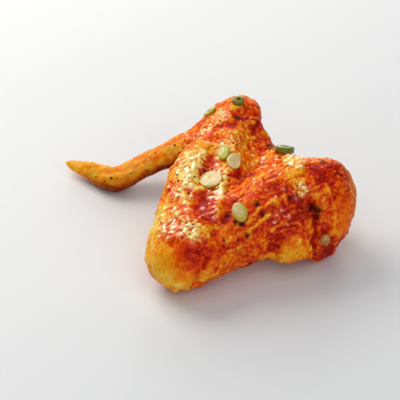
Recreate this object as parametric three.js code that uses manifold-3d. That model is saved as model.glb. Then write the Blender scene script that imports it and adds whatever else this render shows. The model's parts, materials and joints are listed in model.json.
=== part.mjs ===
// A roasted and glazed whole chicken wing with slices of spring onion on it, folded as it lies when served.
// Millimetres, +Z up. The origin is the middle of the bounding box's base, on the surface the wing lies on.
// +X runs from the tip of the wing towards its shoulder, and the elbow is at the -Y end.
import * as THREE from 'three';
import { ImprovedNoise } from 'three/addons/math/ImprovedNoise.js';
import { mergeVertices } from 'three/addons/utils/BufferGeometryUtils.js';
import Module from 'manifold-3d';

const wasm = await Module();
wasm.setup();

// Driving dimensions: the bones' lengths from joint to joint, and how the folded wing lies.
const UPPER_ARM = 57.7;
const FOREARM = 79.7;
const PALM = 54.1;
const FINGER = 23.8;
const ELBOW_HEIGHT = 11.9;
const BEARINGS = { upperArm: 30.6, forearm: 78.6, palm: 199.4, finger: 152.4 };
const RISES = { upperArm: 6.4, forearm: 11, palm: -24.3, finger: -2.2 };

// Thickness of the skin web, and how far each part's skin runs over onto what it joins.
const WEB_THICKNESS = 6.4;
const BLENDS = {
  bones: 4.6, shoulder: 5.5, elbow: 6.4, web: 8.2, webEdge: 2.7, tip: 6.4, knob: 3.7, flap: 4.5,
};
const LUMPS = [{ size: 15.6, height: 1.4 }, { size: 7.3, height: 1 }];

// Slices of spring onion keep a gap to the skin, and press into it by a little.
const SLICE_GAP = 0.3;
const SLICE_SINK = 0.5;
const SLICE_CHAMFER = 0.35;
const SLICE_SEGMENTS = 20;

// Mesh fineness, the room that the mesher searches round the bones, and the depth cut off below the floor.
const CELL = 2.3;
const ROOM_ROUND_BONES = 24;
const FLOOR_CUT = 30;
const FLOOR_SPAN = 400;

// A point `length` away from another, by its bearing in plan from +X and its rise above the horizontal.
function away(from, length, bearing, rise) {
  const turn = THREE.MathUtils.degToRad(bearing);
  const lift = THREE.MathUtils.degToRad(rise);
  const level = length * Math.cos(lift);
  const step = new THREE.Vector3(level * Math.cos(turn), level * Math.sin(turn), length * Math.sin(lift));
  return from.clone().add(step);
}

const elbow = new THREE.Vector3(-7.3, -42.2, ELBOW_HEIGHT);
const shoulder = away(elbow, UPPER_ARM, BEARINGS.upperArm, RISES.upperArm);
const wrist = away(elbow, FOREARM, BEARINGS.forearm, RISES.forearm);
const knuckle = away(wrist, PALM, BEARINGS.palm, RISES.palm);
const fingertip = away(knuckle, FINGER, BEARINGS.finger, RISES.finger);

// A point beside a bone: a share of the way along it, then `left` in plan and `up`.
function beside(start, end, share, left, up) {
  const run = end.clone().sub(start);
  const sideways = new THREE.Vector3(-run.y, run.x, 0).normalize();
  const point = start.clone().addScaledVector(run, share).addScaledVector(sideways, left);
  point.z += up;
  return point;
}

// A fleshy limb: a chain of rounded cones through stations [point, radius], smoothed to a curve first.
function limb(stations, pieces = 4) {
  const path = new THREE.CatmullRomCurve3(stations.map(([point]) => point), false, 'centripetal');
  const count = (stations.length - 1) * pieces;
  return Array.from({ length: count + 1 }, (_, i) => {
    const place = i / pieces;
    const before = Math.min(Math.floor(place), stations.length - 2);
    const share = THREE.MathUtils.smoothstep(place - before, 0, 1);
    const radius = THREE.MathUtils.lerp(stations[before][1], stations[before + 1][1], share);
    return { centre: path.getPoint(i / count), radius };
  });
}

function distanceToLimb(point, balls) {
  let nearest = Infinity;
  for (let i = 0; i < balls.length - 1; i++) {
    const { centre: a, radius: ra } = balls[i];
    const { centre: b, radius: rb } = balls[i + 1];
    const abx = b.x - a.x;
    const aby = b.y - a.y;
    const abz = b.z - a.z;
    const apx = point.x - a.x;
    const apy = point.y - a.y;
    const apz = point.z - a.z;
    const along = (apx * abx + apy * aby + apz * abz) / (abx * abx + aby * aby + abz * abz);
    const t = Math.min(1, Math.max(0, along));
    const gap = Math.hypot(apx - t * abx, apy - t * aby, apz - t * abz) - (ra + t * (rb - ra));
    nearest = Math.min(nearest, gap);
  }
  return nearest;
}

// The union of two signed distances, softened where they meet so that skin runs over the join.
function softUnion(a, b, blend) {
  const mix = Math.max(blend - Math.abs(a - b), 0) / blend;
  return Math.min(a, b) - mix * mix * blend / 4;
}

// The skin web between the forearm and the upper arm: a fan of triangles with a rounded thickness.
const webTriangle = new THREE.Triangle();
const webNearest = new THREE.Vector3();
function distanceToWeb(point, corners) {
  let nearest = Infinity;
  for (let i = 1; i < corners.length - 1; i++) {
    webTriangle.set(corners[0], corners[i], corners[i + 1]);
    webTriangle.closestPointToPoint(point, webNearest);
    nearest = Math.min(nearest, webNearest.distanceTo(point));
  }
  return nearest - WEB_THICKNESS / 2;
}

// The forearm is two bones side by side, each with its flesh.
const ulna = limb([
  [beside(elbow, wrist, 0, -1.7, 0), 10.5],
  [beside(elbow, wrist, 0.2, 1.3, 0.9), 11.2],
  [beside(elbow, wrist, 0.5, 3.3, 1.8), 11],
  [beside(elbow, wrist, 0.78, 1.6, 1.4), 8.8],
  [beside(elbow, wrist, 1, -0.9, -0.4), 7.4],
]);
const radius = limb([
  [beside(elbow, wrist, 0.02, -7.3, 0.9), 10.1],
  [beside(elbow, wrist, 0.3, -9.2, 2.7), 9.9],
  [beside(elbow, wrist, 0.65, -6.9, 2.3), 9],
  [beside(elbow, wrist, 1, -3.7, 0), 7.7],
]);
const upperArm = limb([
  [beside(elbow, shoulder, 0.05, 0, 0), 11.4],
  [beside(elbow, shoulder, 0.4, 0.6, 0.1), 12.8],
  [beside(elbow, shoulder, 0.72, 2.3, 1.4), 15.2],
  [beside(elbow, shoulder, 1.02, 0.7, 0), 17.4],
]);
const shoulderTop = limb([
  [beside(elbow, shoulder, 0.8, 5.5, 6.4), 9.2],
  [beside(elbow, shoulder, 1.15, 3.2, 4.8), 10.6],
]);

// The wing's tip is flattened: the palm and the thumb side lie beside each other and thin out to a point.
const palm = limb([
  [beside(wrist, knuckle, 0, 0.6, -1.2), 6.4],
  [beside(wrist, knuckle, 0.35, 2.4, -1.6), 4.9],
  [beside(wrist, knuckle, 0.7, 2, -1.1), 4.3],
  [beside(wrist, knuckle, 1, 1.6, -0.4), 4.1],
  [beside(knuckle, fingertip, 0.5, 1, -0.3), 2.9],
  [fingertip, 1.5],
]);
const thumbSide = limb([
  [beside(wrist, knuckle, 0.1, -1.8, -1.8), 5.4],
  [beside(wrist, knuckle, 0.4, -1.2, -2.4), 4.3],
  [beside(wrist, knuckle, 0.75, -2.6, -1.8), 4],
  [beside(wrist, knuckle, 1, -1.9, -0.5), 3.8],
  [beside(knuckle, fingertip, 0.5, -0.5, -0.3), 2.6],
]);

const webCorners = [
  beside(elbow, wrist, 0.12, -5.5, 8.2),
  beside(elbow, wrist, 1, -4.6, 2.7),
  new THREE.Vector3(24.7, 11, 22.5),
  new THREE.Vector3(34.8, 6.4, 23.8),
  beside(elbow, shoulder, 1, 12.8, 6.4),
];
const webEdge = limb([
  [beside(elbow, wrist, 0.98, -4.6, 3.7), 3.7],
  [new THREE.Vector3(26.6, 11.9, 22.5), 3.1],
  [new THREE.Vector3(34.8, 7.3, 24.3), 3.3],
  [beside(elbow, shoulder, 1, 11.9, 7.3), 4],
]);

// Where the wing was cut from the bird, the end of the bone and a flap of skin hang at the shoulder's foot.
const jointKnob = limb([
  [beside(elbow, shoulder, 0.7, -9.2, -7.3), 5.3],
  [beside(elbow, shoulder, 0.86, -10.5, -7.6), 5.2],
]);
const cutFlap = limb([
  [beside(elbow, shoulder, 0.97, -8.8, -13), 5.2],
  [beside(elbow, shoulder, 1.06, -6.8, -13), 5.4],
]);

// Folds in the skin, each through points: a groove where the depth is above 0, a ridge where it is below.
// Heights count less than distances in plan, so that a fold keeps its depth where it runs down a slope.
const FOLD_FLATTENING = 0.4;
const FOLD_REACH = 11;
const folds = [
  { depth: 2, width: 3.8, through: [[5, 7, 34], [4, -11, 32], [1, -35, 27]] },
  { depth: 1.8, width: 4.6, through: [[18, 11, 29], [16, -7, 29], [12, -23, 27], [8, -40, 23]] },
  { depth: -1.5, width: 2.6, through: [[16, -32, 25], [22, -27, 26], [28, -22, 27]] },
  { depth: -1.3, width: 2.6, through: [[19, -37, 22], [25, -32, 24], [30, -27, 26]] },
  { depth: -1.6, width: 3.7, through: [[26, 7, 27], [32, -5, 29], [38, -15, 33], [44, -24, 30]] },
  { depth: 2.2, width: 3.8, through: [[37, -24, 31], [42, -31, 26]] },
  { depth: 1.6, width: 3, through: [[49, -17, 25], [49, -20, 18], [48, -22, 14]] },
  { depth: 1.6, width: 2.7, through: [[28, -27, 18], [30, -33, 11], [31, -35, 4]] },
  { depth: 2, width: 2.9, through: [[4, -46, 18], [3, -51, 11], [2, -53, 4]] },
  { depth: 1.6, width: 3.1, through: [[-5, 27, 31], [4, 25, 38], [14, 26, 35]] },
  { depth: 1.5, width: 3.3, through: [[-3, 13, 35], [6, 16, 37], [16, 18, 31]] },
].map(({ depth, width, through }) => ({
  depth,
  width,
  line: limb(through.map(([x, y, z]) => [new THREE.Vector3(x, y, z * FOLD_FLATTENING), 0])),
}));

const flattened = new THREE.Vector3();
function foldsAt(point) {
  flattened.set(point.x, point.y, point.z * FOLD_FLATTENING);
  return folds.reduce((sum, { depth, width, line }) => {
    const widthsAway = distanceToLimb(flattened, line) / width;
    return sum + depth * Math.exp(-widthsAway * widthsAway);
  }, 0);
}

const noise = new ImprovedNoise();
function lumpsAt(point) {
  return LUMPS.reduce((sum, { size, height }) => (
    sum + height * noise.noise(point.x / size + 11.3, point.y / size + 4.7, point.z / size + 7.9)
  ), 0);
}

// Negative inside the wing, and close to the distance from its skin in millimetres.
function wingField(point) {
  const upperMuscle = distanceToLimb(point, upperArm);
  const upper = softUnion(upperMuscle, distanceToLimb(point, shoulderTop), BLENDS.shoulder);
  let flesh = softUnion(distanceToLimb(point, ulna), distanceToLimb(point, radius), BLENDS.bones);
  flesh = softUnion(flesh, upper, BLENDS.elbow);
  flesh = softUnion(flesh, distanceToWeb(point, webCorners), BLENDS.web);
  flesh = softUnion(flesh, distanceToLimb(point, webEdge), BLENDS.webEdge);
  const tip = softUnion(distanceToLimb(point, palm), distanceToLimb(point, thumbSide), BLENDS.webEdge);
  flesh = softUnion(flesh, tip, BLENDS.tip);
  flesh = softUnion(flesh, distanceToLimb(point, jointKnob), BLENDS.knob);
  flesh = softUnion(flesh, distanceToLimb(point, cutFlap), BLENDS.flap);
  return Math.abs(flesh) < FOLD_REACH ? flesh + foldsAt(point) + lumpsAt(point) : flesh;
}

// The surface where a field is zero: one vertex in each grid cell it crosses, one quad for each grid edge.
function surfaceNet(field, box, cell) {
  const size = box.getSize(new THREE.Vector3()).divideScalar(cell).ceil().addScalar(1);
  const stride = [1, size.x, size.x * size.y];
  const values = new Float32Array(size.x * size.y * size.z);
  const probe = new THREE.Vector3();
  for (let k = 0, n = 0; k < size.z; k++) {
    for (let j = 0; j < size.y; j++) {
      for (let i = 0; i < size.x; i++, n++) {
        values[n] = field(probe.set(i, j, k).multiplyScalar(cell).add(box.min));
      }
    }
  }
  const vertexOf = new Int32Array(values.length).fill(-1);
  const positions = [];
  const indices = [];
  const mean = new THREE.Vector3();
  const placeVertex = (i, j, k, n) => {
    let crossings = 0;
    mean.set(0, 0, 0);
    for (let axis = 0; axis < 3; axis++) {
      const [side, up] = [(axis + 1) % 3, (axis + 2) % 3];
      for (let corner = 0; corner < 4; corner++) {
        const offset = [0, 0, 0];
        offset[side] = corner & 1;
        offset[up] = corner >> 1;
        const start = n + offset[0] * stride[0] + offset[1] * stride[1] + offset[2] * stride[2];
        const [low, high] = [values[start], values[start + stride[axis]]];
        if (low < 0 === high < 0) continue;
        offset[axis] = low / (low - high);
        mean.add(probe.fromArray(offset));
        crossings++;
      }
    }
    if (crossings === 0) return;
    vertexOf[n] = positions.length / 3;
    mean.divideScalar(crossings).add(probe.set(i, j, k)).multiplyScalar(cell).add(box.min);
    positions.push(mean.x, mean.y, mean.z);
  };
  const pointOf = (vertex) => new THREE.Vector3().fromArray(positions, 3 * vertex);
  const spanOf = (a, b) => pointOf(a).distanceTo(pointOf(b));
  const placeQuads = (n) => {
    for (let axis = 0; axis < 3; axis++) {
      if (values[n] < 0 === values[n + stride[axis]] < 0) continue;
      const [side, up] = [stride[(axis + 1) % 3], stride[(axis + 2) % 3]];
      const ring = [vertexOf[n], vertexOf[n - side], vertexOf[n - side - up], vertexOf[n - up]];
      if (values[n] >= 0) ring.reverse();
      if (spanOf(ring[0], ring[2]) >= spanOf(ring[1], ring[3])) ring.push(ring.shift());
      const [a, b, c, d] = ring;
      indices.push(a, b, c, a, c, d);
    }
  };
  const everyCell = (visit) => {
    for (let k = 1; k < size.z - 1; k++) {
      for (let j = 1; j < size.y - 1; j++) {
        for (let i = 1; i < size.x - 1; i++) visit(i, j, k, i + size.x * (j + size.y * k));
      }
    }
  };
  everyCell(placeVertex);
  everyCell((i, j, k, n) => placeQuads(n));
  const geometry = new THREE.BufferGeometry();
  geometry.setAttribute('position', new THREE.Float32BufferAttribute(positions, 3));
  geometry.setIndex(indices);
  return geometry;
}

function gradient(field, point, reach) {
  const slope = new THREE.Vector3();
  for (let axis = 0; axis < 3; axis++) {
    const ahead = point.clone();
    const behind = point.clone();
    ahead.setComponent(axis, point.getComponent(axis) + reach);
    behind.setComponent(axis, point.getComponent(axis) - reach);
    slope.setComponent(axis, (field(ahead) - field(behind)) / (2 * reach));
  }
  return slope;
}

// Moves a point onto the surface where the field is zero, and returns the field's slope there.
function settlePoint(point, field, reach, rounds) {
  const slope = new THREE.Vector3();
  for (let round = 0; round < rounds; round++) {
    slope.copy(gradient(field, point, reach));
    point.addScaledVector(slope, -field(point) / Math.max(slope.lengthSq(), 0.25));
  }
  return slope;
}

function settle(geometry, field) {
  const position = geometry.getAttribute('position');
  const point = new THREE.Vector3();
  for (let i = 0; i < position.count; i++) {
    point.fromBufferAttribute(position, i);
    settlePoint(point, field, 0.2, 2);
    position.setXYZ(i, point.x, point.y, point.z);
  }
  return geometry;
}

function toSolid(geometry) {
  const bare = geometry.clone().deleteAttribute('normal').deleteAttribute('uv');
  const merged = mergeVertices(bare, 1e-5);
  const index = merged.getIndex().array;
  const corners = [];
  for (let i = 0; i < index.length; i += 3) {
    const [a, b, c] = index.slice(i, i + 3);
    if (a !== b && b !== c && c !== a) corners.push(a, b, c);
  }
  return new wasm.Manifold(new wasm.Mesh({
    numProp: 3,
    vertProperties: new Float32Array(merged.getAttribute('position').array),
    triVerts: new Uint32Array(corners),
  }));
}

function toGeometry(solid) {
  const mesh = solid.getMesh();
  const geometry = new THREE.BufferGeometry();
  geometry.setAttribute('position', new THREE.BufferAttribute(mesh.vertProperties, 3));
  geometry.setIndex(new THREE.BufferAttribute(mesh.triVerts, 1));
  return geometry;
}

const bones = new THREE.Box3().setFromPoints([elbow, shoulder, wrist, knuckle, fingertip]);
const roomRoundWing = bones.clone().expandByScalar(ROOM_ROUND_BONES);

function fieldSolid(field) {
  return toSolid(settle(surfaceNet(field, roomRoundWing, CELL), field));
}

// What lies below the resting surface is cut away, so that the wing rests on small flat spots.
const floorBlock = new THREE.BoxGeometry(FLOOR_SPAN, FLOOR_SPAN, FLOOR_CUT);
const belowFloor = toSolid(floorBlock.translate(0, 0, -FLOOR_CUT / 2));

// A slice cut across a spring onion's stem, lying in the XY plane: a ring, or a disc without a hollow.
function sliceShape({ length, breadth, hollow, thickness, spin }) {
  const [low, high] = [-thickness / 2, thickness / 2];
  const shoulderAt = 1 - SLICE_CHAMFER / (breadth / 2);
  const profile = [[hollow, low], [shoulderAt, low], [1, low + SLICE_CHAMFER],
    [1, high - SLICE_CHAMFER], [shoulderAt, high], [hollow, high]];
  if (hollow > 0) profile.push(profile[0]);
  const slice = new THREE.LatheGeometry(profile.map(([x, y]) => new THREE.Vector2(x, y)), SLICE_SEGMENTS);
  slice.rotateX(Math.PI / 2).scale(length / 2, breadth / 2, 1);
  return slice.rotateZ(THREE.MathUtils.degToRad(spin));
}

// Lays a slice on the skin nearest to `at`, sunk a little below touching it.
function layOnSkin(slice, { at, thickness, sink = SLICE_SINK }) {
  const touch = new THREE.Vector3(...at);
  const normal = settlePoint(touch, wingField, 1.5, 6).normalize();
  touch.addScaledVector(normal, thickness / 2 - sink);
  const turn = new THREE.Quaternion().setFromUnitVectors(new THREE.Vector3(0, 0, 1), normal);
  return slice.applyQuaternion(turn).translate(touch.x, touch.y, touch.z);
}

const skin = new THREE.MeshStandardMaterial({ color: '#d9761c', roughness: 0.35, metalness: 0 });
const pale = new THREE.MeshStandardMaterial({ color: '#e3dfa8', roughness: 0.4, metalness: 0 });
const green = new THREE.MeshStandardMaterial({ color: '#5f8f22', roughness: 0.4, metalness: 0 });

// The slices, from the wrist down. Lengths are in millimetres, spins in degrees, and `hollow` is a share
// of the radius.
const slices = [
  { at: [-2, 33.2, 31.4], length: 5.9, breadth: 4.8, thickness: 2, hollow: 0.4, spin: 20, stem: pale },
  { at: [10.8, 30.9, 36.1], length: 5.1, breadth: 4.4, thickness: 2.2, hollow: 0.45, spin: -10, stem: green },
  { at: [7.9, -0.2, 32.2], length: 7.4, breadth: 5.2, thickness: 1.8, hollow: 0, spin: 85, stem: green },
  { at: [12, -4, 31.4], length: 8.4, breadth: 5.8, thickness: 1.4, hollow: 0, spin: 80, stem: pale },
  {
    at: [4, -14.1, 28.4], length: 9.2, breadth: 10, thickness: 1.4, hollow: 0, spin: 10, sink: -0.6,
    stem: pale,
  },
  { at: [16.6, -33, 27.9], length: 7.7, breadth: 5.5, thickness: 2.4, hollow: 0, spin: 115, stem: pale },
  { at: [30.7, 11.4, 27.5], length: 7.9, breadth: 6.4, thickness: 2.6, hollow: 0.5, spin: 30, stem: green },
  { at: [46.9, -24.1, 14.8], length: 7.6, breadth: 4.2, thickness: 1.4, hollow: 0, spin: 110, stem: pale },
];

const group = new THREE.Group();
function addMesh(name, solid, material) {
  const mesh = new THREE.Mesh(toGeometry(solid), material);
  mesh.name = name;
  group.add(mesh);
}

addMesh('wing', fieldSolid(wingField).subtract(belowFloor), skin);

const roomForWing = fieldSolid((point) => wingField(point) - SLICE_GAP);
slices.forEach((slice, i) => {
  const pieces = toSolid(layOnSkin(sliceShape(slice), slice)).subtract(roomForWing).decompose();
  const largest = pieces.reduce((best, piece) => (piece.volume() > best.volume() ? piece : best));
  addMesh(`spring_onion_${i + 1}`, largest, slice.stem);
});

const middle = new THREE.Box3().setFromObject(group).getCenter(new THREE.Vector3());
group.position.set(-middle.x, -middle.y, 0);

export default group;
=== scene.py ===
"""A whole roasted chicken wing, glazed and scattered with slices of spring onion, dressed around its solids.

Points are handled in millimetres in the part's own frame, and turned into metres where Blender gets them.
"""

import itertools
import json
import math
from types import SimpleNamespace

import bmesh
import bpy
import numpy as np
from mathutils import Matrix, Vector
from mathutils.bvhtree import BVHTree


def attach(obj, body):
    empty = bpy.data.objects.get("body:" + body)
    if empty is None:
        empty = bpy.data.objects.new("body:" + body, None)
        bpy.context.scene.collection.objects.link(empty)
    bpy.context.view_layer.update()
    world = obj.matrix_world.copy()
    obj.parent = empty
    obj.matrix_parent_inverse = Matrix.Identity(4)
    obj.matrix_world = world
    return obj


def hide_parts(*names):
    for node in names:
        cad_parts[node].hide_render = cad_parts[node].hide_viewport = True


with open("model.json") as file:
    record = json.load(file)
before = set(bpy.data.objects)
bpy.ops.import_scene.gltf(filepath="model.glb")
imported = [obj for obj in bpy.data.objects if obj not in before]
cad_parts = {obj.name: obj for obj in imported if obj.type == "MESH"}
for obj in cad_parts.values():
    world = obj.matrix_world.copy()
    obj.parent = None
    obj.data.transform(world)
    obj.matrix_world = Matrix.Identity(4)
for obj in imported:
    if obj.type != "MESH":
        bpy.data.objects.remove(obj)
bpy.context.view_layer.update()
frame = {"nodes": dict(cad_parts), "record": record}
MM = 0.001

# The photo's camera: its place, its fall below the horizontal, its focal length and its side in pixels, and
# how far off the wing lies.
PHOTO_EYE = np.array([57.3, -620.3, 458.2])
PHOTO_FALL = math.radians(33.96)
PHOTO_FOCAL = 935.7
PHOTO_SIDE = 400
EYE_TO_WING = 770

# The render keeps the photo's eye, turned to the wing's middle and drawn nearer. Its sensor's width is in mm.
AIM = (-1.0, 0.5, 13.0)
CLOSER = 2.1
SENSOR = 36.0

# The ends of the wing's bones, where the part's source has them. The wing's parts are told apart by them.
ELBOW = np.array([-7.3, -36.6, 11.9])
SHOULDER = np.array([42.1, -7.5, 18.3])
WRIST = np.array([8.2, 40.1, 27.1])
KNUCKLE = np.array([-38.3, 23.7, 4.8])
TIP_END = np.array([-59.4, 34.7, 3.9])
BONES = [(ELBOW, SHOULDER), (ELBOW, WRIST), (WRIST, KNUCKLE), (KNUCKLE, TIP_END)]

# How near each other a solid's corners are joined, the sides of the faces that the skin and the slices are
# remeshed with, and how often each mesh is then smoothed to lose its solid's facets. The skin's cell keeps it
# under 200,000 triangles.
WELD_GAP = 0.001
SKIN_CELL = 0.485
SKIN_ROUNDS = 20
SLICE_CELL = 0.2
SLICE_ROUNDS = 3

# Places in the photo, each as (across, down, radius in mm). The skin under them is found along the photo's
# rays. Pools of glaze are red and smooth.
GLAZE_POOLS = [
    (129, 231, 5.0), (133, 236, 3.2), (128, 225, 3.0), (132, 209, 2.2), (130, 213, 1.8), (132, 197, 2.2),
    (141, 191, 2.6), (146, 213, 2.2), (144, 227, 2.2), (142, 236, 2.6), (137, 243, 2.0), (187, 239, 2.4),
    (183, 211, 3.0), (192, 209, 2.4), (152, 215, 1.8), (150, 177, 3.4), (184, 243, 2.0),
]
# Charred places are nearly black, and browned ones a little darker than the rest. Both lists also hold
# painted
# shade: dark marks where shadows fall under the slices, in the notch between forearm and upper arm, on the
# wrist's shaded side, under the tip and on the flap.
CHARRED_AND_SHADOWED = [
    (182, 229, 2.3), (185, 230, 2.0), (185, 233, 1.5), (148, 176, 2.2), (186, 206, 1.4), (154, 257, 1.2),
    (130, 213, 0.9), (156, 228, 1.3), (171, 224, 0.8), (142, 234, 1.1), (146, 237, 1.1), (149, 238, 1.1),
    (159, 233, 1.0), (152, 243, 1.0), (161, 200, 2.0),
]
# Browned marks are partly painted shade: under the tip, under a slice, on the wrist's shaded side, on the
# flap.
BROWNED_AND_SHADED = [
    (76, 220, 5.0), (86, 220, 6.0), (95, 216, 6.0), (103, 211, 4.0), (112, 203, 4.0), (154, 190, 5.0),
    (156, 196, 4.0), (189, 248, 5.0), (150, 251, 3.0), (133, 223, 2.4), (182, 231, 4.5),
]
# Wet skin glints on the tops of its pimples, and smooth skin has few pimples.
WET_SKIN = [
    (127, 208, 6.0), (126, 214, 6.0), (125, 219, 5.0), (124, 224, 3.0), (118, 224, 3.0), (113, 241, 2.8),
    (125, 242, 5.0), (138, 214, 4.0), (138, 224, 3.0), (138, 202, 4.0), (117, 236, 3.0), (172, 204, 4.0),
    (177, 220, 3.0), (145, 198, 3.0), (137, 186, 3.0), (158, 211, 3.0), (129, 194, 3.0), (139, 218, 3.0),
    (174, 205, 3.0),
]
SMOOTH_SKIN = [
    (112, 262, 9.0), (124, 262, 8.0), (122, 253, 6.0), (134, 256, 5.0), (175, 250, 6.0), (190, 249, 4.0),
    (197, 229, 7.0), (196, 237, 5.0), (92, 216, 7.0), (78, 217, 6.0), (66, 212, 6.0), (107, 222, 4.0),
    (105, 232, 4.0), (104, 242, 4.0), (103, 252, 5.0),
]

# How the skin's tone shifts from place to place, as (across, down, radius in mm, shift). It turns golden
# below 0, and red above 0. Most shifts are the skin's own colour; some are painted light: red ones darken the
# flap, the wrist's shaded side and the elbow's lower front as painted shade, and golden ones pale the forearm
# where highlights fall, as painted highlight.
TINTS_AND_PAINTED_LIGHT = [
    (68, 213, 6.0, -0.26), (78, 217, 7.0, -0.20), (92, 215, 9.0, -0.24), (104, 208, 7.0, -0.10),
    (105, 250, 7.0, -0.28), (108, 238, 6.2, -0.60), (109, 227, 6.2, -0.60), (109, 229, 3.0, -0.12),
    (109, 262, 8.0, -0.26), (115, 207, 3.0, -0.16), (115, 240, 5.0, -0.10), (116, 202, 5.0, -0.16),
    (116, 251, 4.0, -0.12), (116, 253, 4.0, -0.18), (116, 259, 5.0, -0.14), (117, 212, 6.0, -0.28),
    (118, 268, 7.0, -0.22), (122, 216, 5.0, -0.34), (123, 203, 5.0, -0.20), (123, 211, 4.0, -0.12),
    (123, 227, 4.0, -0.22), (124, 194, 4.0, -0.10), (124, 205, 4.0, -0.28), (124, 212, 5.0, -0.12),
    (124, 217, 4.0, -0.16), (124, 229, 4.0, -0.20), (125, 219, 4.0, -0.20), (126, 243, 5.0, -0.38),
    (128, 267, 5.0, -0.14), (132, 181, 4.0, -0.14), (132, 242, 4.0, -0.16), (133, 202, 4.0, -0.24),
    (134, 187, 5.0, -0.18), (137, 197, 4.0, -0.10), (137, 230, 2.4, -0.24), (138, 243, 3.0, -0.14),
    (139, 218, 3.0, -0.12), (140, 210, 3.0, -0.24), (140, 223, 4.0, -0.30), (143, 204, 4.0, -0.18),
    (144, 184, 3.0, -0.08), (147, 254, 4.0, -0.12), (148, 192, 3.0, -0.16), (148, 195, 4.0, -0.20),
    (150, 201, 3.0, -0.08), (150, 203, 4.0, -0.20), (156, 208, 6.0, -0.22), (156, 218, 4.0, -0.08),
    (156, 234, 3.5, -0.18), (164, 226, 3.5, -0.18), (164, 242, 3.0, -0.12), (169, 252, 4.0, -0.10),
    (172, 206, 3.5, -0.36), (173, 213, 4.0, -0.16), (175, 249, 5.0, -0.20), (177, 219, 3.0, -0.30),
    (180, 242, 3.0, -0.12), (188, 224, 2.6, -0.10), (198, 231, 7.0, -0.04),

    (116, 243, 2.0, 0.16), (118, 228, 4.0, 0.02), (119, 238, 2.0, 0.14), (120, 251, 7.5, 0.26),
    (125, 258, 6.0, 0.12), (131, 228, 3.0, 0.10), (132, 226, 2.5, 0.12), (132, 253, 7.0, 0.20),
    (133, 207, 1.6, 0.20), (133, 230, 4.0, 0.16), (133, 234, 2.5, 0.16), (133, 234, 3.0, 0.08),
    (134, 251, 5.0, 0.10), (141, 191, 2.0, 0.16), (141, 191, 3.0, 0.14), (141, 250, 4.0, 0.12),
    (142, 224, 2.0, 0.14), (142, 260, 4.0, 0.10), (146, 214, 4.0, 0.12), (151, 192, 4.0, 0.08),
    (152, 183, 4.0, 0.14), (152, 213, 2.0, 0.16), (154, 257, 3.0, 0.30), (155, 243, 9.0, 0.08),
    (156, 190, 4.0, 0.30), (157, 198, 4.0, 0.16), (160, 225, 7.0, 0.12), (164, 217, 4.0, 0.12),
    (166, 245, 6.0, 0.18), (171, 230, 8.0, 0.20), (172, 239, 4.0, 0.10), (176, 229, 4.0, 0.10),
    (179, 227, 6.0, 0.20), (181, 218, 3.0, 0.14), (184, 211, 6.0, 0.24), (187, 238, 6.0, 0.14),
    (188, 218, 4.0, 0.12), (188, 243, 4.0, 0.10), (190, 217, 5.0, 0.10), (190, 250, 6.0, 0.45),
    (194, 212, 6.0, 0.24), (195, 243, 4.0, 0.10), (196, 209, 4.0, 0.10), (196, 226, 5.0, 0.08),
]
TINT_LIMITS = (-0.70, 0.45)

# Forms in the skin that the photo shows, each as (height in mm, half width in mm, [(across, down), ...]). One
# with a height below 0 is a crease or a hollow.
FORMS = [
    # The shoulder's lobes and ridges, and the hollow and creases between them.
    (1.1, 3.6, [(171, 205), (175, 207)]),
    (1.3, 2.8, [(172, 213), (174, 216)]),
    (0.9, 2.3, [(176, 220), (178, 221)]),
    (1.2, 5.5, [(187, 214), (191, 219)]),
    (0.9, 1.7, [(188, 221), (188, 227)]),
    (1.5, 4.6, [(197, 227), (196, 238)]),
    (-2.2, 3.0, [(180, 228), (184, 234)]),
    (-1.3, 1.4, [(184, 234), (185, 246)]),
    (1.1, 1.7, [(194, 238), (193, 249)]),
    (1.0, 4.6, [(172, 250), (178, 250)]),
    (-0.9, 2.2, [(163, 250), (169, 244), (176, 241), (183, 243)]),
    (-1.2, 1.3, [(184, 246), (184, 253)]),
    # A fold across the elbow, a ridge and a groove along the tip, and a crease at the elbow's foot.
    (0.5, 2.4, [(110, 243), (116, 246), (125, 247), (133, 244)]),
    (0.7, 1.6, [(72, 213), (82, 214), (93, 210), (105, 203), (116, 196)]),
    (-0.6, 1.5, [(80, 217), (92, 215), (103, 209)]),
    (-1.4, 1.7, [(134, 256), (131, 262), (129, 268)]),
    # Wrinkles on the upper arm, beside the charred hollow, and in the valley beside the forearm.
    (1.1, 1.0, [(151, 237), (157, 231), (164, 226)]),
    (0.9, 0.9, [(152, 242), (157, 237), (162, 233)]),
    (0.7, 0.9, [(163, 240), (170, 236), (177, 236)]),
    (0.8, 1.0, [(186, 240), (187, 232), (185, 225)]),
    (0.8, 1.0, [(191, 240), (193, 232), (191, 224), (187, 218)]),
    (0.8, 1.1, [(139, 222), (141, 213), (146, 205)]),
    (0.7, 0.9, [(148, 224), (151, 215), (155, 208)]),
    # Hollows where the glaze has pooled.
    (-0.9, 2.6, [(126, 226), (131, 236)]),
    (-0.8, 1.7, [(129, 214), (133, 207)]),
    (-0.9, 2.2, [(138, 190), (142, 190)]),
    (-0.8, 1.5, [(145, 228), (141, 237), (136, 244)]),
    # Ridges on the forearm.
    (0.5, 1.5, [(120, 224), (124, 215), (129, 204)]),
    (0.8, 1.3, [(137, 234), (139, 226), (138, 219)]),
]

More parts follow.
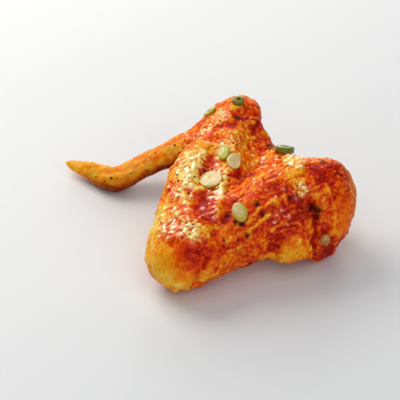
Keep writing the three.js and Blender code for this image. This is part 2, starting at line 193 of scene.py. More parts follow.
# Beads of glaze that glint in the photo, each as (across, down) under its half width in mm, and how high
# they stand in mm.
BEADS = {
    0.55: [
        (136, 184), (138, 187), (137, 188), (139, 188), (135, 190), (130, 191), (136, 190), (128, 187),
        (133, 184), (132, 188), (125, 191), (123, 191), (129, 194), (121, 197), (124, 198), (122, 199),
        (126, 196), (128, 198), (120, 196), (138, 193), (141, 194), (147, 193), (149, 191), (148, 187),
        (151, 187), (146, 189), (143, 198), (146, 198), (142, 196), (131, 200), (130, 204), (120, 202),
        (118, 205),
    ],
    0.6: [
        (153, 202), (153, 205), (157, 208), (158, 206), (157, 211), (156, 214), (153, 209), (154, 216),
        (154, 218), (161, 212), (163, 209), (166, 213), (168, 220), (165, 224), (174, 224), (176, 223),
        (195, 209), (192, 206), (190, 205), (197, 213), (200, 219), (189, 204), (166, 233), (168, 230),
        (171, 233), (165, 236), (171, 237), (130, 231), (131, 234), (133, 223), (133, 229), (135, 233),
    ],
    0.8: [
        (165, 205), (167, 205), (170, 203), (171, 206), (173, 204), (172, 208), (175, 208), (176, 205),
        (177, 208), (168, 207), (176, 218), (178, 219), (177, 222), (169, 205), (172, 205), (175, 204),
        (174, 206), (171, 208), (174, 210), (176, 210), (164, 206), (170, 209), (121, 206), (117, 209),
        (119, 212), (130, 207), (136, 207), (136, 210), (137, 213), (112, 214), (113, 222), (112, 232),
        (110, 236), (117, 226), (118, 223), (120, 222), (117, 232), (118, 235), (124, 237), (134, 226),
        (136, 223), (138, 221), (139, 224), (140, 226), (137, 226), (136, 230), (137, 232), (136, 236),
    ],
    1.0: [
        (124, 208), (127, 207), (125, 212), (122, 213), (127, 211), (123, 217), (126, 216), (121, 220),
        (124, 221), (121, 226), (122, 229), (123, 232), (124, 240), (121, 241), (121, 244), (124, 245),
        (127, 242), (128, 244), (126, 246), (111, 239), (112, 241), (114, 239), (116, 241), (112, 244),
        (116, 244), (110, 246), (114, 247),
    ],
}
BEAD_HEIGHT = 0.6

# Crumbs of pepper and burnt glaze: how many lie at random places, their radii in mm, how far each is
# stretched along its three axes, how uneven it is, and where the photo shows some.
FLECKS = 420
FLECK_SEED = 7
FLECK_RADIUS = (0.16, 0.50)
FLECK_STRETCH = [(0.8, 1.4), (0.6, 1.0), (0.2, 0.4)]
FLECK_UNEVEN = 0.25
PLACED_FLECK_RADIUS = (0.36, 0.64)
PLACED_FLECKS = [
    (116, 215), (117, 216), (115, 229), (126, 239), (120, 238), (117, 242), (150, 215), (152, 213),
    (145, 200), (146, 209), (133, 212), (127, 190), (118, 196), (120, 199), (115, 202), (136, 242),
    (137, 243), (152, 243), (141, 246), (167, 247), (169, 219), (161, 220), (156, 228), (158, 216),
    (138, 199), (110, 249), (112, 221), (103, 205), (99, 207), (92, 210), (87, 213), (83, 214), (163, 212),
    (170, 209), (130, 264), (175, 241), (198, 219), (199, 214), (96, 209), (80, 212), (110, 199), (106, 206),
    (97, 206), (90, 209), (82, 221), (78, 219), (76, 213), (148, 246), (123, 224),
]

# The skin's relief: the heights and spans in mm of its blisters, pimples, grains, creases, wrinkles and
# crinkle. On the upper arm the pimples are lower and the wrinkles higher, and on wet skin the grains are
# higher.
BLISTER_HEIGHT, BLISTER_SPAN = 0.70, 8.0
PIMPLE_HEIGHT, ARM_PIMPLE_HEIGHT, PIMPLE_SPAN = 0.66, 0.46, 2.9
GRAIN_HEIGHT, WET_GRAIN_HEIGHT, GRAIN_SPAN = 0.20, 0.36, 1.7
CREASE_HEIGHT, CREASE_SPAN = 0.12, 4.2
WRINKLE_HEIGHT, ARM_WRINKLE_HEIGHT, WRINKLE_SPAN = 0.10, 0.28, 1.6
CRINKLE_HEIGHT, CRINKLE_SPAN = 0.14, 1.2

# How far the relief is sunk in mm, to keep the solid's size, and the least height over the floor.
RELIEF_SINK = 0.4
LEAST_HEIGHT = 0.02

# The streaks along the bones: their width and length in mm, and how far round a bone they follow it.
STREAK_WIDTH, STREAK_LENGTH = 2.6, 8.0
BONE_REACH = 9.0

# What makes up the skin's tone, from 0 for golden to 1 for dark red. It drifts slowly over the wing, and more
# where the photo doesn't show it. Pores and dips are hollows as deep as given in mm, found by so many rounds
# of smoothing.
MEAN_TONE = 0.57
DRIFT_TONE, UNSEEN_DRIFT_TONE, DRIFT_SPAN = 0.10, 0.32, 12.0
STREAK_TONE = 0.17
BLOTCH_TONE, BLOTCH_SPAN = 0.22, 2.8
PORE_TONE, WET_PORE_TONE, PORE_DEPTH, PORE_ROUNDS = 0.20, 0.54, 0.14, 5
DIP_TONE, DIP_DEPTH, DIP_ROUNDS = 0.16, 0.7, 54
POOL_TONE = 0.22
# The tip's underside is painted redder as shade.
UNDERSIDE_SHADE_TONE = 0.22
# Wet skin and beads are painted paler, a painted highlight that turns their glints cream.
WET_HIGHLIGHT_PALING = 0.10
BEAD_HIGHLIGHT_PALING = 0.18

# How much smoother the skin is in smooth places, in pools and on the tip, and how much rougher where wet.
PATCH_SMOOTHNESS, POOL_SMOOTHNESS, TIP_SMOOTHNESS = 0.8, 0.75, 0.6
WET_ROUGHNESS = 0.3

# How dark the browned marks and the painted shade on the tip's underside are, beside 1 for charring. The
# browned marks are partly painted shade too.
BROWN_AND_SHADE_DEPTH = 0.22
UNDERSIDE_SHADE_DEPTH = 0.72

# How glossy the skin is where it is dry, where it is wet, on its pimples, on wet pimples and on beads, and
# how much duller it is in pools, where it is red, on the tip, and on charring and painted shade.
DRY_GLOSS = 0.015
WET_GLOSS = 0.28
TOP_GLOSS, WET_TOP_GLOSS = 0.07, 0.92
BEAD_GLOSS = 1.2
POOL_DULLNESS, RED_DULLNESS, TIP_DULLNESS, CHAR_AND_SHADE_DULLNESS = 0.85, 0.6, 0.4, 0.96

# Colours, as linear red, green and blue.
SKIN_TONES = [
    (0.0, (0.95, 0.68, 0.18)),
    (0.12, (0.95, 0.54, 0.045)),
    (0.28, (0.93, 0.36, 0.009)),
    (0.46, (0.87, 0.19, 0.003)),
    (0.62, (0.78, 0.075, 0.002)),
    (0.80, (0.60, 0.022, 0.001)),
    (0.94, (0.33, 0.008, 0.001)),
]
FLECK_TONES = [(0.35, (0.035, 0.008, 0.003)), (0.65, (0.13, 0.028, 0.006))]
CREAM_TONES = [(0.35, (0.74, 0.60, 0.24)), (0.65, (0.90, 0.78, 0.44))]
LEAF_TONES = [(0.0, (0.52, 0.49, 0.05)), (1.0, (0.12, 0.19, 0.006))]
FLOOR_TONES = [(0.3, (0.72, 0.74, 0.76)), (0.7, (0.74, 0.76, 0.78))]
# Charring darkens towards soot, and the painted shade mixed in with it darkens the same way.
SOOT_AND_SHADE = (0.055, 0.005, 0.002, 1.0)
SPECK = (0.10, 0.018, 0.004, 1.0)
STAIN = (0.50, 0.17, 0.03, 1.0)

# Each slice's greenness from 0 for the white of the stem to 1 for the leaf, the bearing in degrees of its
# greener side, how dark its green is, and how much the glaze stains it.
SLICE_LOOKS = {
    "spring_onion_1": (0.55, -60, 0.15, 0.05),
    "spring_onion_2": (0.95, 0, 1.0, 0.10),
    "spring_onion_3": (0.90, -20, 0.0, 0.03),
    "spring_onion_4": (0.16, 20, 0.0, 0.0),
    "spring_onion_5": (0.12, 225, 0.0, 0.14),
    "spring_onion_6": (0.50, -45, 0.0, 0.24),
    "spring_onion_7": (0.85, 0, 0.9, 0.05),
    "spring_onion_8": (0.0, 0, 0.0, 0.82),
}

# How many layers a slice has, the heights in mm of their rings on a stem and on a leaf, how far the rings
# wander in radians and over how many mm, and the height and span in mm of the waves in its faces.
LAYERS = 3
RING_HEIGHT, LEAF_RING_HEIGHT = 0.02, 0.07
RING_WANDER, RING_WANDER_SPAN = 2, 2.2
WAVE_HEIGHT, WAVE_SPAN = 0.30, 2.4

# The floor's half side in metres, the light all round, and the soft lights, each as (name, place in metres,
# side in metres, power in watts, colour).
FLOOR_REACH = 2
WORLD_COLOUR = (0.92, 0.96, 1.0, 1.0)
WORLD_STRENGTH = 0.14
SOFTBOXES = [
    ("key", (-0.47, 0.42, 0.54), 0.62, 6.0, (1.0, 0.96, 0.89)),
    ("top", (0.05, 0.05, 0.80), 0.50, 0.8, (1.0, 1.0, 1.0)),
    ("back", (-0.05, 0.95, 0.24), 0.60, 3.5, (1.0, 0.98, 0.94)),
    ("fill", (0.34, -0.62, 0.50), 1.30, 5.0, (0.97, 0.98, 1.0)),
]

# The numbers that turn a cell of space into random numbers.
AXIS_PRIMES = np.array([73856093, 19349663, 83492791], np.uint32)
SEED_PRIME, COLUMN_PRIME = 7919, 104729
FIRST_MIXER, SECOND_MIXER = np.uint32(0x7FEB352D), np.uint32(0x846CA68B)
MOST = 0xFFFFFFFF


def random_at(cells, seed, count):
    """Repeatable random numbers from 0 to 1, `count` of them for each whole-number cell."""
    key = np.bitwise_xor.reduce(cells.astype(np.int64).astype(np.uint32) * AXIS_PRIMES, axis=1)
    columns = []
    for i in range(count):
        mixed = key + np.uint32((seed * SEED_PRIME + i * COLUMN_PRIME) & MOST)
        mixed = (mixed ^ mixed >> np.uint32(16)) * FIRST_MIXER
        mixed = (mixed ^ mixed >> np.uint32(15)) * SECOND_MIXER
        columns.append((mixed ^ mixed >> np.uint32(16)) / MOST)
    return np.stack(columns, axis=1)


def noise(points, seed):
    """Smooth noise of about -1 to 1, with lumps about one unit across."""
    base = np.floor(points)
    part = points - base
    fade = part ** 3 * (part * (part * 6 - 15) + 10)
    total = np.zeros(len(points))
    for corner in itertools.product((0, 1), repeat=3):
        slope = random_at(base + corner, seed, 3) * 2 - 1
        weight = np.prod(np.where(corner, fade, 1 - fade), axis=1)
        total += weight * (slope * (part - corner)).sum(axis=1)
    return total * 1.5


def fractal(points, seed, octaves=3):
    """Noise with finer noise on it."""
    return sum(noise(points * 2 ** i, seed + i) / 2 ** i for i in range(octaves))


def wandered(points, span, reach, seed, octaves=1):
    """The points, moved by noise of the given span and reach in mm, so that forms round them are uneven."""
    moves = [fractal(points / span, seed + axis, octaves) for axis in range(3)]
    return points + np.stack(moves, axis=1) * reach


def scattered(points, seed):
    """The distance to the nearest of one random spot in each unit cell, and that spot's random number."""
    base = np.floor(points)
    nearest = np.full(len(points), np.inf)
    luck = np.zeros(len(points))
    for corner in itertools.product((-1, 0, 1), repeat=3):
        cell = base + corner
        drawn = random_at(cell, seed, 4)
        gap = np.linalg.norm(cell + drawn[:, :3] - points, axis=1)
        closer = gap < nearest
        nearest[closer] = gap[closer]
        luck[closer] = drawn[closer, 3]
    return nearest, luck


def rise(values, low, high):
    """0 at low, 1 at high, and smooth between them."""
    share = np.clip((values - low) / (high - low), 0, 1)
    return share * share * (3 - 2 * share)


def blend(first, second, share):
    return first + (second - first) * share


def bone_gap(points, start, end):
    """How far each point lies from a bone, or from any straight line between two ends."""
    run = end - start
    share = np.clip((points - start) @ run / (run @ run), 0, 1)
    return np.linalg.norm(points - start - share[:, None] * run, axis=1)


def streaks(points, seed):
    """Noise drawn out along whichever bone is nearest."""
    total = np.zeros(len(points))
    weights = np.full(len(points), 1e-9)
    for start, end in BONES:
        axis = (end - start) / np.linalg.norm(end - start)
        along = (points @ axis)[:, None] * axis
        weight = np.exp(-(bone_gap(points, start, end) / BONE_REACH) ** 2)
        total += weight * fractal((points - along) / STREAK_WIDTH + along / STREAK_LENGTH, seed)
        weights += weight
    return total / weights


class Skin:
    """A mesh's points, and the means over each point's neighbours."""

    def __init__(self, mesh):
        self.mesh = mesh
        self.points = np.empty(len(mesh.vertices) * 3)
        mesh.vertices.foreach_get("co", self.points)
        self.points = self.points.reshape(-1, 3) / MM
        ends = np.empty(len(mesh.edges) * 2, np.int64)
        mesh.edges.foreach_get("vertices", ends)
        first, second = ends.reshape(-1, 2).T
        self.source = np.concatenate([first, second])
        self.target = np.concatenate([second, first])
        self.count = np.bincount(self.target, minlength=len(self.points))

    def near_mean(self, values):
        """The mean of one value over each point's neighbours."""
        return np.bincount(self.target, values[self.source], len(self.points)) / self.count

    def blurred(self, values, rounds):
        for _ in range(rounds):
            values = (values + self.near_mean(values)) / 2
        return values

    def blurred_points(self, rounds):
        return np.stack([self.blurred(column, rounds) for column in self.points.T], axis=1)

    def normals(self):
        self.store()
        normals = np.empty(len(self.points) * 3)
        self.mesh.vertex_normals.foreach_get("vector", normals)
        return normals.reshape(-1, 3)

    def hollow(self, rounds, depth):
        """How far each point lies below its surroundings, from -1 to 1 at the given depth in mm."""
        below = ((self.blurred_points(rounds) - self.points) * self.normals()).sum(axis=1)
        return np.clip(below / depth, -1, 1)

    def store(self):
        self.mesh.vertices.foreach_set("co", (self.points * MM).ravel())
        self.mesh.update()

    def attribute(self, name, values):
        layer = self.mesh.attributes.new(name, "FLOAT", "POINT")
        layer.data.foreach_set("value", values.astype(np.float32))


def link(name, mesh):
    piece = bpy.data.objects.new(name, mesh)
    bpy.context.scene.collection.objects.link(piece)
    return piece


def remeshed(node, cell):
    """A node's solid as a fine even mesh with square faces."""
    copy = frame["nodes"][node].data.copy()
    weld = bmesh.new()
    weld.from_mesh(copy)
    bmesh.ops.remove_doubles(weld, verts=weld.verts, dist=WELD_GAP * MM)
    weld.to_mesh(copy)
    weld.free()
    copy.materials.clear()
    rough = link("rough", copy)
    remesh = rough.modifiers.new("even", "REMESH")
    remesh.mode = "VOXEL"
    remesh.voxel_size = cell * MM
    remesh.use_smooth_shade = True
    depsgraph = bpy.context.evaluated_depsgraph_get()
    mesh = bpy.data.meshes.new_from_object(rough.evaluated_get(depsgraph))
    bpy.data.objects.remove(rough)
    return mesh


def node_tree(node):
    """A node's solid, for finding what a ray meets."""
    mesh = frame["nodes"][node].data
    corners = [tuple(v.co / MM) for v in mesh.vertices]
    return BVHTree.FromPolygons(corners, [tuple(f.vertices) for f in mesh.polygons])


def photo_points(places, tree):
    """Where the photo's rays through the given pixels meet the wing, or come nearest to it."""
    eye = Vector(PHOTO_EYE)
    forward = Vector((0, math.cos(PHOTO_FALL), -math.sin(PHOTO_FALL))) * PHOTO_FOCAL
    upward = Vector((0, math.sin(PHOTO_FALL), math.cos(PHOTO_FALL)))
    found = []
    for across, down in places:
        ray = forward + Vector((across - PHOTO_SIDE / 2, 0, 0)) - upward * (down - PHOTO_SIDE / 2)
        ray.normalize()
        hit = tree.ray_cast(eye, ray)[0] or tree.find_nearest(eye + ray * EYE_TO_WING)[0]
        found.append(np.array(hit))
    return found


def covered(points, marks, tree, wander, inner=0.3, outer=1.4):
    """From 0 to 1, how far each point lies inside the marks.

    They fade from `inner` to `outer` radii, and `wander` shifts their edges by so many radii.
    """
    cover = np.zeros(len(points))
    centres = photo_points([mark[:2] for mark in marks], tree)
    for centre, (_, _, radius) in zip(centres, marks):
        radii = np.linalg.norm(points - centre, axis=1) / radius
        cover = np.maximum(cover, 1 - rise(radii + wander, inner, outer))
    return cover


def forms_at(points, tree):
    """The heights in mm of the forms that the photo shows."""
    points = wandered(points, span=2.4, reach=0.7, seed=15)
    height = np.zeros(len(points))
    for peak, half, places in FORMS:
        line = photo_points(places, tree)
        gap = np.min([bone_gap(points, *ends) for ends in zip(line, line[1:])], axis=0)
        height += peak * np.exp(-(gap / half) ** 2)
    return height


def tints_and_painted_light_at(points, tree):
    """How far the photo's marks shift the tone of each point."""
    # Some shifts are painted shade and some painted highlight, beside the skin's own colour.
    points = wandered(points, span=4.0, reach=1.9, seed=45, octaves=2)
    centres = photo_points([tint[:2] for tint in TINTS_AND_PAINTED_LIGHT], tree)
    total = np.zeros(len(points))
    for centre, (_, _, radius, shift) in zip(centres, TINTS_AND_PAINTED_LIGHT):
        total += shift * np.exp(-(np.linalg.norm(points - centre, axis=1) / radius) ** 2)
    return np.clip(total, *TINT_LIMITS)


def beads_at(points, tree):
    """From 0 to 1, how high each point stands on a bead of glaze. No two beads have the same form or size."""
    uneven = 1.05 + 0.35 * noise(points / 2.0, 65)
    points = wandered(points, span=1.6, reach=0.6, seed=61, octaves=2)
    height = np.zeros(len(points))
    for half, places in BEADS.items():
        gaps = [np.linalg.norm(points - bead, axis=1) for bead in photo_points(places, tree)]
        height = np.maximum(height, np.exp(-(np.min(gaps, axis=0) / half / uneven) ** 2))
    return height


def relief(points, rough, wet):
    """The grain of roasted skin, as heights in mm, and from 0 to 1 where the tops of its pimples are.

    It has blisters, pimples, creases and a fine crinkle, and wrinkles along the bones, most on the upper arm.
    """
    on_arm = rise(bone_gap(points, ELBOW, WRIST) - bone_gap(points, ELBOW, SHOULDER), -6, 6)
    warped = wandered(points, span=6.0, reach=1.6, seed=11)
    pimple_gap, pimple_luck = scattered(warped / PIMPLE_SPAN, seed=21)
    pimples = (1 - rise(pimple_gap, 0.0, 0.7)) * (0.2 + 0.8 * pimple_luck)
    tops = (1 - rise(pimple_gap, 0.1, 0.5)) * rise(pimple_luck, 0.35, 0.7)
    grain_gap, grain_luck = scattered(warped / GRAIN_SPAN, seed=22)
    grains = (1 - rise(grain_gap, 0.05, 0.6)) * grain_luck
    blister_gap, blister_luck = scattered(warped / BLISTER_SPAN, seed=23)
    blisters = (1 - rise(blister_gap, 0.1, 0.42)) * rise(blister_luck, 0.4, 0.7)
    creases = np.clip(1 - np.abs(noise(warped / CREASE_SPAN, seed=31)) * 5, 0, 1)
    wrinkles = 1 - np.abs(streaks(warped / WRINKLE_SPAN, seed=33)) * 2
    crinkle = CRINKLE_HEIGHT * fractal(points / CRINKLE_SPAN, seed=35, octaves=2)
    lumps = blend(PIMPLE_HEIGHT, ARM_PIMPLE_HEIGHT, on_arm) * pimples + BLISTER_HEIGHT * blisters
    lumps += blend(GRAIN_HEIGHT, WET_GRAIN_HEIGHT, wet) * grains
    lines = blend(WRINKLE_HEIGHT, ARM_WRINKLE_HEIGHT, on_arm) * wrinkles - CREASE_HEIGHT * creases
    heights = (lumps + (1 - 0.6 * wet) * lines) * rough + crinkle * (0.35 + 0.65 * rough)
    return heights, tops * rough


def skin_kinds(plain, normals, tree):
    """Where each kind of skin lies, from 0 to 1 at each point. Rough skin passes 1 where it is wet."""
    kinds = SimpleNamespace()
    wander = 0.5 * streaks(plain, seed=41) + 0.25 * fractal(plain / 1.5, seed=43, octaves=2)
    kinds.pools = covered(plain, GLAZE_POOLS, tree, wander)
    kinds.wet = covered(plain, WET_SKIN, tree, wander, outer=1.7)
    kinds.beads = beads_at(plain, tree)
    kinds.tip = rise(bone_gap(plain, ELBOW, WRIST) - bone_gap(plain, WRIST, KNUCKLE), 0, 8)
    kinds.smooth = np.maximum(
        PATCH_SMOOTHNESS * covered(plain, SMOOTH_SKIN, tree, wander),
        POOL_SMOOTHNESS * covered(plain, GLAZE_POOLS, tree, wander, outer=1.0),
    )
    kinds.rough = (1 - kinds.smooth) * (1 - TIP_SMOOTHNESS * kinds.tip) * (1 + WET_ROUGHNESS * kinds.wet)
    # The tip's underside, where it faces down, is painted dark as shade, fading out towards its point.
    under = rise(0.2 * fractal(plain / 4.0, seed=77, octaves=2) - normals[:, 2], -0.55, 0.2)
    kinds.scorched = kinds.tip * under * rise(np.linalg.norm(plain - TIP_END, axis=1), 8, 26)
    # Charring and browning, with painted shade among them: shadows under slices, in gaps and under the tip.
    kinds.charred = np.maximum.reduce([
        covered(plain, CHARRED_AND_SHADOWED, tree, wander / 2, outer=1.5),
        BROWN_AND_SHADE_DEPTH * covered(plain, BROWNED_AND_SHADED, tree, wander),
        UNDERSIDE_SHADE_DEPTH * kinds.scorched,
    ])
    return kinds


def skin_tone(skin, plain, kinds, tree):
    """How red each point is. Hollows and pools are redder than the rest, wet skin and beads more golden."""
    to_eye = PHOTO_EYE - plain
    facing = (skin.normals() * to_eye).sum(axis=1) / np.linalg.norm(to_eye, axis=1)
    unseen = rise(facing, 0.1, -0.3)
    drift = blend(DRIFT_TONE, UNSEEN_DRIFT_TONE, unseen) * fractal(plain / DRIFT_SPAN, seed=51, octaves=2)
    mottle = STREAK_TONE * streaks(plain, seed=55) + BLOTCH_TONE * fractal(plain / BLOTCH_SPAN, seed=57)
    mottle += blend(PORE_TONE, WET_PORE_TONE, kinds.wet) * skin.hollow(PORE_ROUNDS, PORE_DEPTH)
    tone = MEAN_TONE + drift + mottle * (1 - 0.65 * kinds.smooth) * (1 - 0.4 * unseen)
    tone += DIP_TONE * skin.hollow(DIP_ROUNDS, DIP_DEPTH) + tints_and_painted_light_at(plain, tree)
    # Pools are redder, and painted shade makes the tip's underside redder too.
    tone += POOL_TONE * kinds.pools + UNDERSIDE_SHADE_TONE * kinds.scorched
    # Wet skin and beads are painted paler under their glints: painted highlight.
    return tone - (WET_HIGHLIGHT_PALING * kinds.wet + BEAD_HIGHLIGHT_PALING * kinds.beads) * (1 - kinds.pools)


def skin_gloss(tone, tops, kinds):
    """How glossy each point is. Red skin, pools, the tip, charring and painted shade are all duller."""
    gloss = WET_GLOSS * kinds.wet + blend(TOP_GLOSS, WET_TOP_GLOSS, kinds.wet) * tops
    gloss *= (1 - POOL_DULLNESS * kinds.pools) * (1 - RED_DULLNESS * rise(tone, 0.58, 0.85))
    gloss = np.clip(DRY_GLOSS + gloss + BEAD_GLOSS * kinds.beads, 0, 1)
    return gloss * (1 - TIP_DULLNESS * kinds.tip) * (1 - CHAR_AND_SHADE_DULLNESS * kinds.charred)


def build_skin(tree):
    """The wing's skin with its relief, and each point's redness, charring with painted shade, roughness and
    gloss.
    """
    mesh = remeshed("wing", SKIN_CELL)
    skin = Skin(mesh)
    skin.points = skin.blurred_points(SKIN_ROUNDS)
    plain = skin.points.copy()
    normals = skin.normals()
    kinds = skin_kinds(plain, normals, tree)
    grain, tops = relief(plain, kinds.rough, kinds.wet)
    heights = grain + forms_at(plain, tree) - RELIEF_SINK * kinds.rough + BEAD_HEIGHT * kinds.beads
    off_floor = rise(plain[:, 2], 0.3, 2.5)
    skin.points = plain + normals * (heights * off_floor)[:, None]
    skin.points[:, 2] = np.maximum(skin.points[:, 2], LEAST_HEIGHT)

    tone = skin_tone(skin, plain, kinds, tree)
    skin.attribute("tone", np.clip(tone, 0, 1))
    skin.attribute("char", kinds.charred)
    skin.attribute("rough", np.clip(kinds.rough, 0, 1))
    skin.attribute("wet", skin_gloss(tone, tops, kinds))
    skin.store()
    return link("glazed_skin", mesh)


class Graph:
    """A material's nodes, added and joined with short calls."""

    def __init__(self, name):
        self.material = bpy.data.materials.new(name)
        self.material.use_nodes = True
        self.nodes = self.material.node_tree.nodes
        self.links = self.material.node_tree.links
        self.shader = self.nodes["Principled BSDF"]
        self.place = self.add("ShaderNodeTexCoord").outputs["Object"]

    def add(self, kind, settings=None, **inputs):
        node = self.nodes.new(kind)
        for name, value in (settings or {}).items():
            setattr(node, name, value)
        self.set(node, **inputs)
        return node

    def set(self, node, **inputs):
        """Sets or joins a node's inputs, whose names are written with _ for a space, or as in_0 by number."""
        for name, value in inputs.items():
            socket = node.inputs[int(name[3:]) if name.startswith("in_") else name.replace("_", " ")]
            if isinstance(value, bpy.types.NodeSocket):
                self.links.new(value, socket)
            else:
                socket.default_value = value

    def attribute(self, name):
        return self.add("ShaderNodeAttribute", {"attribute_name": name}).outputs["Fac"]

    def math(self, operation, first, second):
        return self.add("ShaderNodeMath", {"operation": operation}, in_0=first, in_1=second).outputs[0]

    def noise(self, scale, detail=2.0, roughness=0.5):
        """Noise of about 0.3 to 0.7, with `scale` lumps to the metre."""
        return self.add(
            "ShaderNodeTexNoise", Vector=self.place, Scale=scale, Detail=detail, Roughness=roughness,
        ).outputs["Fac"]

    def map(self, value, low, high, to_low=0.0, to_high=1.0):
        return self.add(
            "ShaderNodeMapRange", in_0=value, in_1=low, in_2=high, in_3=to_low, in_4=to_high,
        ).outputs[0]

    def mix(self, share, first, second):
        node = self.add("ShaderNodeMix", {"data_type": "RGBA"})
        self.set(node, in_0=share, in_6=first, in_7=second)
        return node.outputs[2]

    def ramp(self, value, stops):
        node = self.add("ShaderNodeValToRGB", in_0=value)
        elements = node.color_ramp.elements
        while len(elements) < len(stops):
            elements.new(0.5)
        for element, (position, colour) in zip(elements, stops):
            element.position = position
            element.color = (*colour, 1.0)
        return node.outputs["Color"]


def skin_material():
    """Golden to dark red by tone, darkened by charring and painted shade, specked, glazed where glossy."""
    graph = Graph("glazed_skin")
    rough = graph.attribute("rough")
    grain = graph.map(graph.noise(620, detail=4.0, roughness=0.75), 0.3, 0.7, -0.18, 0.18)
    grain = graph.math("MULTIPLY", grain, graph.map(rough, 0.0, 0.8, 0.45, 1.0))
    colour = graph.ramp(graph.math("ADD", graph.attribute("tone"), grain), SKIN_TONES)
    patches = graph.map(graph.noise(900), 0.25, 0.5, 0.55, 1.0)
    colour = graph.mix(graph.math("MULTIPLY", graph.attribute("char"), patches), colour, SOOT_AND_SHADE)
    specks = graph.math("MULTIPLY", graph.map(graph.noise(1300, detail=1.0), 0.68, 0.74), rough)
    colour = graph.mix(graph.math("MULTIPLY", specks, 0.75), colour, SPECK)
    bump = graph.add("ShaderNodeBump", Height=graph.noise(900), Strength=0.3, Distance=0.0003)
    graph.set(
        graph.shader,
        Base_Color=colour,
        Roughness=graph.map(graph.noise(260), 0.3, 0.7, 0.30, 0.46),
        Specular_IOR_Level=0.05,
        Subsurface_Weight=0.10,
        Subsurface_Scale=0.002,
        Subsurface_Radius=(1.0, 0.35, 0.12),
        Coat_Weight=graph.attribute("wet"),
        Coat_Roughness=0.07,
        Coat_IOR=2.4,
        Normal=bump.outputs[0],
        Coat_Normal=bump.outputs[0],
    )
    return graph.material


def fleck_material():
    graph = Graph("pepper_flecks")
    colour = graph.ramp(graph.noise(400), FLECK_TONES)
    graph.set(graph.shader, Base_Color=colour, Roughness=0.7, Specular_IOR_Level=0.02)
    return graph.material


def build_flecks(skin_mesh, tree):
    """Crumbs of pepper and burnt glaze, pressed into the skin. More of them lie on rough skin."""
    draw = np.random.default_rng(FLECK_SEED)
    unit = bmesh.new()
    bmesh.ops.create_icosphere(unit, subdivisions=1, radius=1.0)
    ball = np.array([v.co for v in unit.verts])
    faces = [[v.index for v in face.verts] for face in unit.faces]
    unit.free()
    places = np.empty(len(skin_mesh.vertices) * 3)
    skin_mesh.vertices.foreach_get("co", places)
    places = places.reshape(-1, 3) / MM
    rough = np.empty(len(places))
    skin_mesh.attributes["rough"].data.foreach_get("value", rough)
    least, most = FLECK_RADIUS
    picked = draw.choice(len(places), FLECKS, p=(rough + 0.1) / (rough + 0.1).sum())
    chosen = [(i, least + (most - least) * draw.random() ** 2) for i in picked]
    for place in photo_points(PLACED_FLECKS, tree):
        chosen.append((np.linalg.norm(places - place, axis=1).argmin(), draw.uniform(*PLACED_FLECK_RADIUS)))
    points, polygons = [], []
    for index, radius in chosen:
        stretch = np.array([draw.uniform(*limits) for limits in FLECK_STRETCH])
        uneven = 1 + draw.uniform(-FLECK_UNEVEN, FLECK_UNEVEN, (len(ball), 1))
        upright = skin_mesh.vertex_normals[index].vector.to_track_quat("Z", "X").to_matrix()
        turn = upright @ Matrix.Rotation(draw.uniform(0, math.tau), 3, "Z")
        polygons += [[i + len(points) for i in face] for face in faces]
        points += list(places[index] + ball * stretch * uneven * radius @ np.array(turn).T)
    mesh = bpy.data.meshes.new("pepper_flecks")
    mesh.from_pydata([tuple(p * MM) for p in points], [], polygons)
    return link("pepper_flecks", mesh)


def build_slice(node):
    """A slice of spring onion on its solid's form, ringed by its layers and greener on one side."""
    green, bearing, dark, stain = SLICE_LOOKS[node]
    mesh = remeshed(node, SLICE_CELL)
    skin = Skin(mesh)
    skin.points = skin.blurred_points(SLICE_ROUNDS)
    centred = skin.points - skin.points.mean(axis=0)
    _, axes = np.linalg.eigh(np.cov(centred.T))
    _, across, along = (centred @ axes).T
    reach = np.hypot(along / np.abs(along).max(), across / np.abs(across).max())
    wander = RING_WANDER * noise(skin.points / RING_WANDER_SPAN, seed=71)
    layers = np.cos(reach * LAYERS * math.tau + wander)
    heights = blend(RING_HEIGHT, LEAF_RING_HEIGHT, green) * layers
    heights += WAVE_HEIGHT * noise(skin.points / WAVE_SPAN, seed=73)
    skin.points += skin.normals() * heights[:, None]
    turn = math.radians(bearing)
    lean = (centred[:, 0] * math.cos(turn) + centred[:, 1] * math.sin(turn)) / np.abs(along).max()
    skin.attribute("reach", np.clip(reach + 0.05 * layers, 0, 1.2))
    skin.attribute("layers", np.clip(layers, 0, 1))
    skin.attribute("green", np.clip(green * (1 + 0.8 * lean), 0, 1))
    skin.attribute("dark", np.full(len(skin.points), dark))
    skin.attribute("stain", np.clip(stain * (1 + noise(skin.points / 3.0, seed=75)), 0, 1))
    skin.store()
    return link(node + "_rings", mesh)


def onion_material(name):
    """Layers from pale inside to green outside, each slice in its own green, and stained by the glaze."""
    graph = Graph(name)
    green = graph.attribute("green")
    ragged = graph.map(graph.noise(500), 0.3, 0.7, -0.10, 0.10)
    reach = graph.math("ADD", graph.attribute("reach"), ragged)
    outside = graph.map(graph.math("ADD", reach, graph.math("MULTIPLY", green, 0.7)), 0.85, 1.15)
    outside = graph.math("MULTIPLY", outside, graph.map(green, 0.0, 0.3))
    arcs = graph.math("MULTIPLY", graph.attribute("layers"), graph.map(green, 0.1, 0.6, 0.0, 0.7))
    cream = graph.ramp(graph.noise(350, detail=3.0), CREAM_TONES)
    leaf = graph.ramp(graph.attribute("dark"), LEAF_TONES)
    colour = graph.mix(graph.math("MAXIMUM", outside, arcs), cream, leaf)
    colour = graph.mix(graph.attribute("stain"), colour, STAIN)
    bump = graph.add("ShaderNodeBump", Height=graph.noise(2200), Strength=0.2, Distance=0.0002)
    graph.set(
        graph.shader,
        Base_Color=colour,
        Roughness=graph.map(graph.noise(600), 0.3, 0.7, 0.30, 0.48),
        Specular_IOR_Level=0.2,
        Subsurface_Weight=0.25,
        Subsurface_Scale=0.0012,
        Subsurface_Radius=(0.8, 1.0, 0.4),
        Coat_Weight=0.4,
        Coat_Roughness=0.15,
        Normal=bump.outputs[0],
    )
    return graph.material


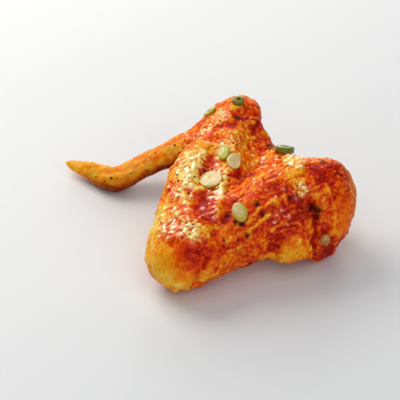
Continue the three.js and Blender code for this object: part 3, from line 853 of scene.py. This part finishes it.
def turned_to_wing(place):
    """The rotation that points a lamp or a camera at the wing's middle."""
    return (Vector(AIM) * MM - Vector(place)).to_track_quat("-Z", "Y").to_euler()


def build_floor():
    corners = [(x * FLOOR_REACH, y * FLOOR_REACH, 0) for x, y in ((-1, -1), (1, -1), (1, 1), (-1, 1))]
    mesh = bpy.data.meshes.new("floor")
    mesh.from_pydata(corners, [], [(0, 1, 2, 3)])
    floor = link("floor", mesh)
    graph = Graph("floor")
    graph.set(graph.shader, Base_Color=graph.ramp(graph.noise(3.0), FLOOR_TONES), Roughness=0.5)
    mesh.materials.append(graph.material)


def build_lights():
    """Soft light, mostly from the back left, filled in from the front right and faintly from all round."""
    world = bpy.data.worlds.new("studio")
    world.use_nodes = True
    world.node_tree.nodes["Background"].inputs["Color"].default_value = WORLD_COLOUR
    world.node_tree.nodes["Background"].inputs["Strength"].default_value = WORLD_STRENGTH
    bpy.context.scene.world = world
    for name, place, side, power, colour in SOFTBOXES:
        light = bpy.data.lights.new(name, "AREA")
        light.color = colour
        light.shape = "SQUARE"
        light.size = side
        light.energy = power
        lamp = link(name, light)
        lamp.location = place
        lamp.rotation_euler = turned_to_wing(place)


def build_camera():
    camera = bpy.data.cameras.new("camera")
    camera.sensor_width = SENSOR
    camera.lens = SENSOR * PHOTO_FOCAL * CLOSER / PHOTO_SIDE
    eye = link("camera", camera)
    eye.location = Vector(PHOTO_EYE) * MM
    eye.rotation_euler = turned_to_wing(eye.location)
    bpy.context.scene.camera = eye
    bpy.context.scene.view_settings.view_transform = "Standard"


def dress(piece, material, node=None):
    """Gives a piece its material and its place in the frame."""
    piece.data.materials.clear()
    piece.data.materials.append(material)
    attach(piece, "root")
    if node:
        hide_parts(node)


build_floor()
build_lights()
build_camera()
wing_tree = node_tree("wing")
skin_piece = build_skin(wing_tree)
dress(skin_piece, skin_material(), "wing")
dress(build_flecks(skin_piece.data, wing_tree), fleck_material())
onions = {slot: onion_material(slot) for slot in ("onion_pale", "onion_green")}
for part in frame["record"]["subparts"]:
    slot, node = part["material_slot"], part["node"]
    if slot in onions:
        dress(build_slice(node), onions[slot], node)
